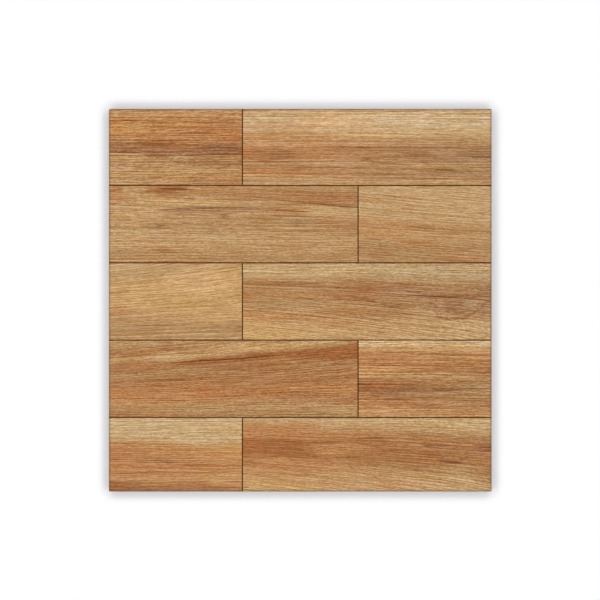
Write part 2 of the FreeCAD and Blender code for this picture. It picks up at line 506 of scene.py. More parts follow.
# %% Figures of the first course
FIGURES = {}
FIGURES[0] = {
    "grain": 1.2,
    "left": [(0, "peach"), (7, "honey"), (13, "cinnamon"), (20, "amber"), (25, "amber"),
             (31, "cinnamon"), (38, "chestnut"), (45, "chestnut"), (48, "umber"), (52, "chestnut"),
             (56, "tan"), (90, "tan")],
    "right": [(0, "peach"), (7, "honey"), (14, "honey"), (22, "cinnamon"), (35, "cinnamon"),
              (41, "chestnut"), (46, "umber"), (52, "umber"), (61, "chestnut"), (69, "olive"),
              (78, "honey"), (86, "chestnut")],
    "marks": [
        (22, 1.5, 80, 2, 4, "drab", 0.6), (0, 4, 22, 4, 1.7, "pale straw", 0.7),
        (0, 7, 22, 7, 1.7, "pale straw", 0.6), (0, 13.5, 80, 14, 2, "russet", 0.7),
        (78, 14.5, 157, 15.5, 2.2, "russet", 0.8), (31, 17.5, 64, 17.5, 2, "straw", 0.7),
        (112, 19, 157, 19.5, 1.9, "umber", 0.7), (0, 21, 64, 21, 2.5, "gold", 0.7),
        (80, 23.5, 157, 24.5, 2.2, "russet", 0.8), (0, 26.5, 80, 26.5, 2, "straw", 0.6),
        (0, 28, 80, 28.3, 1.9, "russet", 0.7), (70, 28, 140, 29.5, 1.9, "walnut", 0.6),
        (138, 33, 160, 33, 7, "terracotta", 0.5), (15, 35, 52, 35, 1.9, "straw", 0.6),
        (43, 37, 92, 38, 1.9, "russet", 0.8), (0, 40.5, 90, 41, 2, "walnut", 0.5),
        (60, 42.5, 88, 42.5, 4.2, "terracotta", 0.6), (105, 46, 160, 46, 6, "umber", 0.8),
        (100, 45.5, 157, 45.8, 1.9, "walnut", 0.5), (0, 51.5, 45, 52, 2.2, "walnut", 0.5),
        (30, 53, 75, 53.5, 2, "walnut", 0.4), (126, 60.5, 156, 61, 1.9, "pale straw", 0.8),
        (43, 63, 157, 62.5, 1.7, "walnut", 0.5), (96, 72, 140, 72, 2.2, "cinnamon", 0.6),
        (100, 60, 160, 61, 14, "chestnut", 0.5), (55, 58, 100, 58, 9, "straw", 0.5),
        (-4, 66.5, 56, 66.5, 10, "peach", 0.4),
    ],
}
FIGURES[1] = {
    "grain": 0.85,
    "left": [(0, "peach"), (7, "straw"), (14, "pale straw"), (20, "peach"), (25, "straw"), (31, "honey"),
             (37, "honey"), (42, "peach"), (48, "cinnamon"), (60, "cinnamon"), (66, "olive"),
             (75, "cinnamon"), (84, "tan")],
    "right": [(0, "straw"), (7, "pale straw"), (14, "cream"), (22, "pale straw"), (32, "straw"),
              (40, "olive"), (47, "drab"), (60, "drab"), (66, "olive"), (75, "drab"), (85, "tan"),
              (90, "tan")],
    "marks": [
        (55, 14, 165, 14, 28, "apricot", 0.55), (150, 7, 230, 7, 12, "apricot", 0.3),
        (70, 25, 150, 25, 9, "cream", 0.4), (110, 6, 230, 6, 10, "cream", 0.5),
        (150, 26, 250, 26, 14, "pale straw", 0.5), (0, 45.5, 293, 45.5, 1.9, "russet", 0.7),
        (100, 45.5, 172, 45.5, 2.2, "russet", 0.9), (128, 45.7, 160, 45.7, 1.7, "walnut", 0.5),
        (140, 41, 165, 41, 5, "cinnamon", 0.6), (-4, 52, 17, 52, 12, "terracotta", 0.5),
        (8, 50, 70, 51, 9, "umber", 0.85), (0, 55, 66, 56, 15, "chestnut", 0.8),
        (28, 54, 62, 54.5, 4.5, "umber", 0.7), (34, 59, 58, 59.5, 4.5, "umber", 0.6),
        (10, 60, 40, 60, 4, "russet", 0.6), (20, 62.5, 64, 63, 1.9, "russet", 0.7),
        (180, 53, 226, 53, 5, "umber", 0.6), (150, 59, 215, 59, 8, "straw", 0.4),
        (205, 63.5, 228, 63.5, 2.2, "walnut", 0.45), (250, 52, 300, 53, 14, "umber", 0.55),
        (266, 57, 297, 57, 2.2, "walnut", 0.6), (222, 71, 252, 71, 2, "walnut", 0.5),
        (132, 59, 160, 60.5, 4.2, "russet", 0.8), (200, 66, 220, 66, 4.5, "straw", 0.6),
        (-4, 76, 48, 76, 9, "cinnamon", 0.7), (0, 72, 18, 72.5, 4, "umber", 0.7),
        (105, 83, 132, 83, 6, "amber", 0.6), (40, 69.5, 150, 69, 1.9, "walnut", 0.5),
        (150, 63, 190, 64, 2, "walnut", 0.4), (10, 87, 100, 87, 6, "pale straw", 0.4),
        (90, 85, 300, 87, 4, "straw", 0.4), (75, 30, 225, 30, 14, "apricot", 0.25),
        (70, 66, 150, 66, 24, "peach", 0.22),
    ],
}
print("first course figured")

# %% Figures of the second course
FIGURES[2] = {
    "grain": 0.95,
    "left": [(2, "honey"), (10, "tan"), (19, "tan"), (28, "tan"), (36, "tan"), (44, "tan"), (52, "tan"),
             (59, "straw"), (68, "straw"), (77, "tan"), (86, "olive"), (91, "honey")],
    "right": [(-8, "tan"), (1, "olive"), (7, "chestnut"), (14, "chestnut"), (20, "olive"), (26, "straw"),
              (32, "straw"), (38, "olive"), (48, "olive"), (57, "tan"), (75, "tan"), (88, "olive")],
    "marks": [
        (-4, 31, 44, 32, 14, "straw", 0.6), (-6, 12, 22, 13, 20, "cinnamon", 0.8),
        (-4, 4, 18, 5, 6, "russet", 0.5), (40, 3.5, 104, 3.5, 7, "russet", 0.9),
        (62, 3, 100, 3, 3.4, "walnut", 0.7), (44, 11, 98, 11, 11, "chestnut", 0.7),
        (15, 15, 80, 20, 7, "straw", 0.8), (25, 20.5, 175, 20.5, 8, "gold", 0.8),
        (145, 20, 215, 22, 6, "straw", 0.8), (200, 23, 296, 33, 7, "gold", 0.75),
        (54, 31, 125, 27, 9, "drab", 0.85), (95, 29, 190, 29.5, 11, "drab", 0.85),
        (165, 30, 245, 34, 10, "chestnut", 0.85), (62, 28.5, 135, 26, 3.4, "umber", 0.8),
        (105, 26, 185, 27, 3.2, "umber", 0.8), (168, 26.5, 238, 31.5, 2.6, "russet", 0.8),
        (150, 37.5, 215, 38.5, 2.4, "russet", 0.6), (155, 12.5, 215, 17.5, 4, "russet", 0.8),
        (200, 17, 296, 25.5, 4, "russet", 0.9), (232, 19.8, 297, 26.3, 2.6, "walnut", 0.5),
        (235, 31, 300, 35, 9, "straw", 0.9), (205, 42.5, 240, 43.5, 9, "drab", 1),
        (238, 43, 300, 48, 11, "russet", 0.7), (245, 48.5, 297, 51.5, 2.4, "russet", 0.9),
        (200, 66, 256, 66, 2, "cinnamon", 0.8), (48, 76, 82, 77, 6, "chestnut", 0.8),
        (246, 83, 296, 83, 5, "cinnamon", 0.7), (46, 48.5, 74, 49.5, 8, "drab", 0.9),
        (52, 46.5, 64, 47, 3.6, "umber", 0.8), (84, 44, 98, 44, 4.2, "drab", 0.9),
        (126, 36.5, 143, 36.5, 4.5, "umber", 0.7), (108, 50, 130, 53, 12, "drab", 0.7),
        (168, 50, 200, 51, 7, "drab", 0.6), (189, 60, 199, 60, 2.5, "walnut", 0.5),
        (0, 65, 60, 65, 2, "cinnamon", 0.7), (0, 78, 30, 78, 6, "drab", 0.7),
        (92, 15, 104, 15.5, 2, "walnut", 0.5), (225, 42, 297, 45, 22, "peach", 0.3),
        (-4, 33, 75, 33, 10, "apricot", 0.3),
    ],
}
FIGURES[3] = {
    "grain": 0.85,
    "left": [(4, "straw"), (13, "straw"), (21, "tan"), (29, "straw"), (39, "straw"), (48, "honey"),
             (56, "honey"), (65, "honey"), (73, "olive"), (95, "olive")],
    "right": [(-4, "straw"), (36, "straw"), (42, "tan"), (52, "olive"), (58, "tan"), (69, "olive"),
              (87, "olive")],
    "marks": [
        (23, 10.7, 54, 13.8, 1.7, "walnut", 0.5), (46, 15, 74, 16.5, 4, "cinnamon", 0.6),
        (2, 31.5, 56, 37, 2, "cinnamon", 0.6), (58, 47.5, 90, 52, 1.9, "walnut", 0.45),
        (48, 25, 70, 27, 4, "cinnamon", 0.6), (62, 51, 92, 52, 6, "chestnut", 0.7),
        (96, 54, 124, 58, 5, "chestnut", 0.6), (40, 60, 110, 62, 6, "straw", 0.5),
        (10, 63, 32, 63.5, 1.9, "walnut", 0.4), (40, 68, 98, 68, 7, "cinnamon", 0.7),
        (44, 66.5, 80, 67, 2, "russet", 0.6), (10, 80, 42, 80, 10, "chestnut", 0.8),
        (108, 77, 132, 78, 9, "chestnut", 0.6), (86, 85, 160, 86, 6, "cinnamon", 0.6),
        (-4, 86, 18, 86, 7, "tan", 0.6), (60, 4, 150, 8, 8, "straw", 0.5),
        (105, 59, 160, 60, 8, "straw", 0.35),
    ],
}
print("second course figured")

# %% Figures of the third course
FIGURES[4] = {
    "grain": 0.75,
    "left": [(-4, "straw"), (12, "straw"), (20, "gold"), (46, "gold"), (61, "tan"), (70, "olive"),
             (79, "olive"), (85, "tan")],
    "right": [(8, "tan"), (19, "gold"), (64, "gold"), (73, "tan"), (81, "olive"), (87, "tan")],
    "marks": [
        (70, 21, 96, 21, 6, "pale straw", 0.7), (2, 32, 104, 32, 1.7, "tan", 0.7),
        (-3, 37, 25, 37, 11, "cinnamon", 0.5), (-3, 54, 36, 54, 14, "cinnamon", 0.45),
        (99, 57.3, 130, 52.7, 1.9, "cinnamon", 0.7), (0, 67, 42, 67, 2.2, "chestnut", 0.8),
        (25, 73.5, 102, 73.5, 1.9, "walnut", 0.45), (60, 77, 99, 77, 4, "honey", 0.7),
        (50, 23, 165, 24, 34, "apricot", 0.42), (50, 83, 165, 82, 10, "straw", 0.35),
    ],
}
FIGURES[5] = {
    "grain": 1,
    "left": [(-2, "pale straw"), (10, "pale straw"), (18, "straw"), (23, "tan"), (29, "chestnut"),
             (36, "olive"), (42, "cinnamon"), (48, "olive"), (58, "olive"), (67, "honey"), (76, "honey"),
             (84, "gold")],
    "right": [(0, "straw"), (12, "dun"), (17, "olive"), (24, "drab"), (47, "drab"), (51, "olive"),
              (57, "straw"), (91, "straw")],
    "marks": [
        (60, 10, 160, 10, 16, "gold", 0.35), (18, 23.5, 100, 23.5, 7, "russet", 0.6),
        (50, 24, 100, 24, 2.4, "umber", 0.8), (126, 33.5, 172, 30, 4.4, "umber", 0.6),
        (140, 39, 160, 47, 4.4, "russet", 0.7), (-4, 42, 14, 42, 15, "terracotta", 0.5),
        (62, 38.5, 92, 45.5, 2, "umber", 0.7), (100, 25, 190, 30, 18, "chestnut", 0.5),
        (70, 33, 195, 35, 18, "russet", 0.3), (118, 32, 166, 35, 8, "russet", 0.6),
        (126, 42, 158, 45, 9, "russet", 0.6), (70, 59, 215, 60, 15, "chestnut", 0.7),
        (92, 52, 150, 54, 14, "amber", 0.3), (146, 46, 188, 54, 5, "umber", 0.9),
        (180, 25, 212, 24, 6, "chestnut", 0.7), (168, 60, 212, 61, 5, "chestnut", 0.8),
        (192, 33, 216, 34, 3, "umber", 0.8), (222, 35, 246, 32, 5, "chestnut", 0.7),
        (246, 34, 272, 31.5, 5, "chestnut", 0.7), (232, 52, 274, 54, 20, "umber", 0.4),
        (224, 46.5, 242, 46.5, 6, "straw", 0.5), (256, 47, 278, 48, 9, "dun", 0.5),
        (228, 40, 222, 56, 3.2, "umber", 0.7), (221, 52, 232, 65, 3.2, "umber", 0.7),
        (226, 62, 248, 67, 3.2, "umber", 0.8), (236, 66, 266, 64, 3.4, "umber", 0.8),
        (256, 65, 279, 58, 3.2, "umber", 0.8), (270, 62, 286, 47, 3.4, "umber", 0.8),
        (278, 53, 298, 39, 3.6, "umber", 0.8), (241, 46, 238, 57, 2.8, "umber", 0.6),
        (237, 54, 250, 61, 2.8, "umber", 0.6), (246, 60.5, 264, 58, 2.8, "umber", 0.6),
        (259, 60, 272, 50, 2.8, "umber", 0.6), (200, 38, 236, 39.2, 3, "umber", 0.9),
        (214, 39, 276, 40, 3.6, "umber", 1), (220, 39.2, 270, 39.9, 2.4, "walnut", 0.4),
        (258, 40.5, 300, 41.5, 6, "umber", 0.8), (140, 79, 174, 82, 1.9, "walnut", 0.5),
        (90, 85, 230, 86, 11, "tan", 0.6), (150, 58, 200, 59, 7, "chestnut", 0.4),
    ],
}
print("third course figured")

# %% Figures of the fourth course
FIGURES[6] = {
    "grain": 1.15,
    "left": [(-14, "straw"), (-4, "tan"), (3, "chestnut"), (10, "chestnut"), (13, "gold"), (17, "straw"),
             (20, "chestnut"), (27, "chestnut"), (35, "olive"), (44, "chestnut"), (53, "cinnamon"),
             (64, "cinnamon"), (73, "honey"), (80, "olive"), (87, "chestnut")],
    "right": [(0, "straw"), (14, "straw"), (18, "russet"), (27, "russet"), (33, "chestnut"),
              (54, "chestnut"), (61, "cinnamon"), (72, "chestnut"), (80, "tan"), (91, "olive")],
    "marks": [
        (46, 2.5, 80, 2.5, 3.1, "umber", 0.6), (30, 15, 80, 14, 3.1, "cinnamon", 0.8),
        (0, 25, 70, 22.5, 4.5, "gold", 0.2), (40, 22.5, 190, 11.5, 6.5, "straw", 0.75),
        (120, 14, 260, 3.5, 7, "gold", 0.7), (84, 14, 240, 5, 15, "gold", 0.6),
        (190, 17, 300, 13, 13, "russet", 0.8), (256, 14, 280, 13, 6, "terracotta", 0.6),
        (20, 31, 90, 30.5, 5, "cinnamon", 0.7), (100, 28, 225, 25, 11, "chestnut", 0.6),
        (148, 34, 222, 34, 14, "russet", 0.5), (72, 28.5, 205, 20, 5, "russet", 0.7),
        (66, 28, 125, 23.3, 2.4, "walnut", 0.75), (96, 25, 180, 20, 2.4, "walnut", 0.75),
        (150, 21.3, 215, 16.3, 2.4, "walnut", 0.75), (185, 18, 297, 7.5, 4.5, "russet", 0.9),
        (116, 32, 174, 32, 5, "umber", 0.5), (0, 46.5, 114, 46.5, 1.9, "umber", 0.7),
        (92, 62.5, 148, 62.5, 9, "terracotta", 0.45), (100, 57.5, 128, 58, 3, "terracotta", 0.7),
        (130, 62.3, 270, 62.5, 2, "russet", 0.7), (192, 60.5, 218, 60.5, 6, "terracotta", 0.6),
        (0, 63, 24, 63, 2.2, "terracotta", 0.8), (-2, 73.5, 98, 73.5, 6, "honey", 0.7),
        (-2, 88, 92, 88, 4, "cinnamon", 0.6), (210, 66.5, 250, 66.5, 2, "umber", 0.7),
        (-4, 25, 70, 24, 8, "chestnut", 0.35),
    ],
}
FIGURES[7] = {
    "grain": 1.1,
    "left": [(0, "apricot"), (7, "pale straw"), (12, "gold"), (16, "honey"), (20, "cinnamon"),
             (30, "cinnamon"), (40, "honey"), (47, "chestnut"), (55, "russet"), (61, "umber"),
             (66, "chestnut"), (74, "cinnamon"), (83, "honey"), (91, "honey")],
    "right": [(0, "cream"), (4, "pale straw"), (8, "gold"), (11, "honey"), (14, "chestnut"),
              (23, "honey"), (32, "chestnut"), (40, "chestnut"), (50, "olive"), (57, "drab"),
              (64, "olive"), (76, "chestnut"), (85, "honey")],
    "marks": [
        (12, 14.5, 88, 14.5, 2, "chestnut", 0.9), (112, 12.5, 157, 12.5, 3.1, "cinnamon", 0.8),
        (88, 18, 122, 18, 1.9, "umber", 0.7), (40, 27, 70, 27, 2, "russet", 0.8),
        (108, 28, 160, 28, 2, "russet", 0.9), (3, 31, 160, 31, 2.2, "russet", 0.8),
        (-2, 33, 84, 33, 1.9, "straw", 0.7), (83, 36, 126, 36, 2, "russet", 0.8),
        (-2, 36.5, 40, 36.5, 5, "amber", 0.7), (43, 41.5, 125, 41.5, 1.9, "umber", 0.5),
        (-2, 45.5, 22, 45.5, 2.2, "russet", 0.8), (51, 50, 90, 50.5, 2.2, "russet", 0.7),
        (-3, 57, 52, 57, 10, "russet", 0.5), (48, 54, 74, 54, 4, "umber", 0.8),
        (88, 56.5, 125, 56.5, 8, "umber", 0.8), (24, 58, 110, 58.5, 5, "umber", 0.7),
        (-2, 65, 40, 65.5, 2, "russet", 0.8), (50, 66.3, 130, 66.3, 2, "walnut", 0.5),
        (115, 71, 160, 71, 1.9, "walnut", 0.5), (48, 75.5, 114, 75.5, 2, "umber", 0.7),
        (10, 43, 160, 43, 9, "straw", 0.35), (95, 77, 165, 77, 7, "straw", 0.25),
    ],
}
print("fourth course figured")

# %% Figures of the fifth course
FIGURES[8] = {
    "grain": 0.85,
    "left": [(0, "pale straw"), (12, "pale straw"), (22, "straw"), (27, "straw"), (31, "honey"),
             (36, "cinnamon"), (44, "cinnamon"), (49, "chestnut"), (56, "cinnamon"), (66, "cinnamon"),
             (73, "honey"), (78, "chestnut"), (83, "umber"), (87, "umber")],
    "right": [(0, "pale straw"), (26, "pale straw"), (33, "gold"), (39, "amber"), (48, "honey"),
              (56, "cinnamon"), (62, "cinnamon"), (68, "honey"), (74, "honey"), (81, "cinnamon"),
              (87, "chestnut")],
    "marks": [
        (0, 30, 20, 30, 2, "chestnut", 0.9), (37, 31, 100, 34.3, 2.2, "chestnut", 0.6),
        (11, 45.5, 27, 45.5, 5, "terracotta", 0.7), (5, 49, 20, 49, 2, "umber", 0.8),
        (50, 49.7, 83, 53.3, 2.5, "umber", 0.9), (35, 53, 48, 53, 2.5, "umber", 0.8),
        (86, 56, 100, 56, 2.2, "umber", 0.8), (94, 55, 129, 55, 2, "russet", 0.9),
        (0, 67.2, 66, 63.8, 1.9, "walnut", 0.5), (-4, 82, 26, 82, 12, "russet", 0.8),
        (0, 83, 110, 83, 2.2, "umber", 0.7), (95, 83, 160, 83, 2.4, "umber", 0.9),
        (55, 77, 84, 77, 4.5, "amber", 0.6), (115, 78, 158, 78, 5, "gold", 0.7),
        (95, 15.5, 165, 15.5, 13, "gold", 0.55), (-4, 31, 110, 32, 7, "chestnut", 0.35),
    ],
}
FIGURES[9] = {
    "grain": 1.05,
    "left": [(0, "straw"), (8, "straw"), (13, "cinnamon"), (27, "cinnamon"), (33, "russet"),
             (52, "russet"), (60, "cinnamon"), (70, "cinnamon"), (80, "honey"), (92, "gold")],
    "right": [(-2, "straw"), (6, "pale straw"), (12, "straw"), (18, "olive"), (25, "chestnut"),
              (46, "chestnut"), (52, "olive"), (58, "tan"), (66, "straw"), (91, "straw")],
    "marks": [
        (6, 14, 35, 14, 5, "cinnamon", 0.8), (-4, 32, 26, 32, 16, "terracotta", 0.5),
        (24, 27.5, 54, 27.5, 5, "umber", 0.9), (24, 37, 48, 37, 5, "terracotta", 0.7),
        (35, 50, 55, 52, 9, "amber", 0.6), (-3, 54.5, 19, 54.5, 9, "chestnut", 0.8),
        (70, 36, 156, 37, 18, "honey", 0.6), (120, 28.5, 178, 28.5, 6, "russet", 0.8),
        (0, 51, 17, 51, 2, "walnut", 0.5), (122, 25.5, 180, 25.5, 2, "walnut", 0.6),
        (84, 41, 128, 41, 7, "amber", 0.8), (107, 46.5, 132, 46.5, 2, "walnut", 0.5),
        (203, 33.5, 248, 33.5, 6, "umber", 0.8), (210, 33.5, 228, 33.5, 2, "walnut", 0.5),
        (203, 42, 232, 42, 6, "russet", 0.9), (226, 49, 268, 55, 7, "umber", 0.9),
        (232, 50.5, 262, 54, 2.4, "walnut", 0.5), (268, 37, 300, 37, 11, "umber", 0.8),
        (272, 34.5, 297, 34.5, 2, "walnut", 0.5), (272, 39.5, 297, 39.5, 2, "walnut", 0.5),
        (144, 81, 183, 81, 5, "amber", 0.7), (-2, 82, 12, 82, 2, "walnut", 0.5),
        (70, 70, 160, 72, 18, "straw", 0.35), (55, 14.5, 220, 15, 9, "straw", 0.4),
    ],
}
print("fifth course figured,", sum(len(f["marks"]) for f in FIGURES.values()), "marks in all")

# %% [markdown]
# ## The tones of a board
# A printed board is built in layers, and the broad tones come first. Flat stripes would look like a flag,
# so three things break them up: the sway of the grain carries them, ridges and fibres fray their edges,
# and a cloudy noise drifts them up and down. The two lists of tones become two colour ramps.

# %% A board's tones
FRAY = {"ridges": 7.0, "fibres": 2.5}  # mm that each kind of line reaches into the tone beside it
CLOUD_LENGTH, CLOUD_WIDTH, CLOUD_REACH = 60.0, 16.0, 14.0  # mm
TONE_MARGIN = 16.0  # mm that the lists of tones reach past a board, where slanting grain goes


def frayed(tree, down, lines):
    """The place across the grain, pushed up or down by the lines there."""
    middle = {0: down, 1: -sum(FRAY.values()) / 2}
    down = add(tree, "ShaderNodeMath", middle, operation="ADD").outputs[0]
    for name, reach in FRAY.items():
        pushed = {0: lines[name], 1: reach, 2: down}
        down = add(tree, "ShaderNodeMath", pushed, operation="MULTIPLY_ADD").outputs[0]
    return down


def broad_tones(tree, board, place, along, down):
    """The board's tones from top to bottom, drifting like clouds, and blended from its left to its right."""
    cloud = stretched_noise(tree, place, CLOUD_LENGTH, CLOUD_WIDTH, SWAY_DETAIL)
    drifted = {0: cloud, 1: CLOUD_REACH, 2: down}
    drift = add(tree, "ShaderNodeMath", drifted, operation="MULTIPLY_ADD").outputs[0]
    span = board.top - board.bottom + 2 * TONE_MARGIN
    shifted = {0: drift, 1: 1 / span, 2: (TONE_MARGIN - CLOUD_REACH / 2) / span}
    share = add(tree, "ShaderNodeMath", shifted, operation="MULTIPLY_ADD").outputs[0]
    ends = []
    for end in ("left", "right"):
        tones = FIGURES[board.number][end]
        ramp = add(tree, "ShaderNodeValToRGB", {0: share})
        stops = ramp.color_ramp.elements
        while len(stops) < len(tones):
            stops.new(1.0)
        for stop, (spot, tone) in zip(stops, tones):
            stop.position = (spot + TONE_MARGIN) / span
            stop.color = linear(TONES[tone])
        ends.append(ramp.outputs[0])
    run = {"Value": along, "From Max": board.right - board.left}
    blend = add(tree, "ShaderNodeMapRange", run, interpolation_type="SMOOTHSTEP").outputs[0]
    return add(tree, "ShaderNodeMix", {0: blend, 6: ends[0], 7: ends[1]}, data_type="RGBA").outputs[2]


print("tones fray by up to", sum(FRAY.values()) / 2, "mm")

# %% [markdown]
# ## Brush marks
# Knots, streaks and single dark vessels are marks. A mark is a round gradient that is stretched from one
# point to the other. Fibres cut into it, so it looks brushed and not stamped. Broad marks fray as the tones
# do. A fine one is a single vessel, and fraying would tear it to pieces, so it stays whole.

# %% A brush mark
FINE_LINE = 4.0  # mm; a mark thinner than this doesn't fray
NOISE_RANGE = {"From Min": 0.3, "From Max": 0.7}  # where nearly all of a noise lies
SOLID_FROM, STREAKY_FROM = 0.15, 0.65  # how far in from its rim a mark is full, on a fibre and beside it


def brush_mark(tree, board, path, edge, colour, mark):
    """The colour with one streaky mark over it, from one point of the board to another."""
    start_along, start_down, end_along, end_down, thickness, tone, strength = mark
    start = np.array(grain_place(board, start_along, start_down))
    end = np.array(grain_place(board, end_along, end_down))
    middle, run = (start + end) / 2, end - start
    where = {
        "Vector": path,
        "Location": (middle[0], middle[1], 0),
        "Rotation": (0, 0, math.atan2(run[1], run[0])),
        "Scale": (np.hypot(*run) / 2, thickness / 2, 1),
    }
    local = add(tree, "ShaderNodeMapping", where, vector_type="TEXTURE").outputs[0]
    spot = add(tree, "ShaderNodeTexGradient", {"Vector": local}, gradient_type="SPHERICAL").outputs["Fac"]
    soft = {"Value": spot, "From Max": edge, "To Max": strength}
    cover = add(tree, "ShaderNodeMapRange", soft, interpolation_type="SMOOTHSTEP").outputs[0]
    over = {0: cover, 6: colour, 7: linear(TONES[tone])}
    return add(tree, "ShaderNodeMix", over, data_type="RGBA").outputs[2]


def brushed(tree, board, along, level, down, lines, colour):
    """The colour with all of the board's marks over it. Only the broad ones lie on the frayed place."""
    fine_path = add(tree, "ShaderNodeCombineXYZ", {"X": along, "Y": level}).outputs[0]
    broad_path = add(tree, "ShaderNodeCombineXYZ", {"X": along, "Y": down}).outputs[0]
    streaks = {"Value": lines["fibres"], **NOISE_RANGE, "To Min": SOLID_FROM, "To Max": STREAKY_FROM}
    edge = add(tree, "ShaderNodeMapRange", streaks).outputs[0]
    for mark in FIGURES[board.number]["marks"]:
        thickness = mark[4]
        path = fine_path if thickness < FINE_LINE else broad_path
        colour = brush_mark(tree, board, path, edge, colour, mark)
    return colour


fine_marks = sum(mark[4] < FINE_LINE for figure in FIGURES.values() for mark in figure["marks"])
print(fine_marks, "marks are fine lines")

# %% [markdown]
# ## The lines over the tones
# The fine grain comes last. Each kind of line darkens red a little, green more and blue most, because
# iron brown ink swallows blue first. Between the lines the glaze shows, and a limit keeps it from getting
# lighter than it is. A trace of red ink lies over the whole print.

# %% Grain over the tones
GRAIN_SHADES = {  # how much each kind of line darkens red, green and blue
    "bands": (0.1, 0.2, 0.47),
    "ridges": (0.28, 0.43, 0.6),
    "flecks": (0.39, 0.48, 0.55),
    "fibres": (0.37, 0.54, 0.86),
    "dashes": (0.28, 0.41, 0.64),
    "pores": (0.34, 0.48, 0.75),
}
LIGHTEST = (1.4, 1.55, 1.8)  # times the tone, in red, green and blue
RED_TRACE = (1.008, 0.99, 0.985)  # the same three, under the trace of red ink


def grained(tree, board, lines, colour):
    """The colour, lighter or darker by every kind of grain line."""
    shade = RED_TRACE
    for name, shades in GRAIN_SHADES.items():
        shades = [FIGURES[board.number]["grain"] * s for s in shades]
        lifted = {0: lines[name], 1: shades, 2: [1 - s / 2 for s in shades]}
        layer = add(tree, "ShaderNodeVectorMath", lifted, operation="MULTIPLY_ADD").outputs[0]
        shade = add(tree, "ShaderNodeVectorMath", {0: layer, 1: shade}, operation="MULTIPLY").outputs[0]
    shade = add(tree, "ShaderNodeVectorMath", {0: shade, 1: LIGHTEST}, operation="MINIMUM").outputs[0]
    return add(tree, "ShaderNodeVectorMath", {0: colour, 1: shade}, operation="MULTIPLY").outputs[0]


print("strongest lines:", max(GRAIN_SHADES, key=lambda name: sum(GRAIN_SHADES[name])))

# %% [markdown]
# ## The printed glaze
# Glazed porcelain stoneware: a matt glaze is a thin glass with fine crystals in it, so light spreads wide
# on it and no mirror image shows. Its index is that of glass, 1.5, but the crystals leave it much less
# sheen than clear glass has. The pores are a little duller still, and the finest lines are felt as a
# bump. The ten boards wear ten materials from one function, because a shader then works out one board's
# figure at a time.

# %% Ten printed boards
GLAZE_IOR = 1.5
GLAZE_SHEEN = 0.15  # of Blender's specular level, where 0.5 is clear glass
GLAZE_ROUGHNESS = 0.5
PORE_ROUGHNESS = 0.65
BUMP_HEIGHT, BUMP_STRENGTH = 0.1, 0.5  # mm, and the share of it that shows


def printed_board(board):
    """Matt glazed porcelain with one board's print: dark ink in the grooves, and painted arris shade, partly
    pooled ink, along the edge.
    """
    material = bpy.data.materials.new(f"printed matt glaze, board {board.number + 1}")
    material.use_nodes = True
    tree = material.node_tree
    place = add(tree, "ShaderNodeAttribute", attribute_name="grain").outputs["Vector"]
    swayed, lines = draw_grain(tree, place)
    along, level, _ = add(tree, "ShaderNodeSeparateXYZ", {0: swayed}).outputs
    down = frayed(tree, level, lines)
    colour = broad_tones(tree, board, place, along, down)
    colour = brushed(tree, board, along, level, down, lines, colour)
    colour = grained(tree, board, lines, colour)
    # dark ink in the grooves, and painted arris shade with some pooled ink along the tile's edge
    ink_and_edge_shade = add(tree, "ShaderNodeAttribute", attribute_name="joint ink and edge shade").outputs["Fac"]
    joints_and_edge = {0: ink_and_edge_shade, 6: colour, 7: linear(TONES["groove"])}
    colour = add(tree, "ShaderNodeMix", joints_and_edge, data_type="RGBA").outputs[2]

    satin = {"To Min": PORE_ROUGHNESS, "To Max": GLAZE_ROUGHNESS}
    roughness = add(tree, "ShaderNodeMapRange", {"Value": lines["pores"], **NOISE_RANGE, **satin}).outputs[0]
    height = add(tree, "ShaderNodeMath", {0: lines["fibres"], 1: lines["pores"]}, operation="ADD").outputs[0]
    relief = {"Height": height, "Distance": BUMP_HEIGHT * MM, "Strength": BUMP_STRENGTH}
    normal = add(tree, "ShaderNodeBump", relief).outputs[0]
    glaze = tree.nodes["Principled BSDF"]
    glaze.inputs["IOR"].default_value = GLAZE_IOR
    glaze.inputs["Specular IOR Level"].default_value = GLAZE_SHEEN
    for name, socket in (("Base Color", colour), ("Roughness", roughness), ("Normal", normal)):
        tree.links.new(socket, glaze.inputs[name])
    return material


for board in boards:
    tile.data.materials.append(printed_board(board))
    print(f"board {board.number}: {len(tile.data.materials[-1].node_tree.nodes)} nodes")

# %% [markdown]
# ## The bare body
# Porcelain stoneware shows at the sides and in the pockets: clay, feldspar and sand, fired until dense.
# It is a warm grey-beige with fine darker specks, dull, because nothing covers it. At the top of the
# sides the glaze has run a little way over the edge.

# %% Porcelain body
BODY_HEX, SPECK_HEX, RUN_HEX = "#94795A", "#75604A", "#6A4A2E"
SPECK_SIZE = 1.2  # mm; real specks are a third of that and would not show
SPECK_RANGE = {"From Min": 0.58, "From Max": 0.7}  # where in its noise a speck starts and is full
GLAZE_RUN, RUN_LENGTH = 1.0, 9.0  # mm that the glaze runs below the arris, and from run to run
RUN_EDGE = 0.1  # mm over which the run fades
BODY_DETAIL = 2.0  # finer noise inside the specks and the runs
BODY_ROUGHNESS = 0.8
GRIT_HEIGHT, GRIT_STRENGTH = 0.1, 0.4  # mm, and the share of it that shows

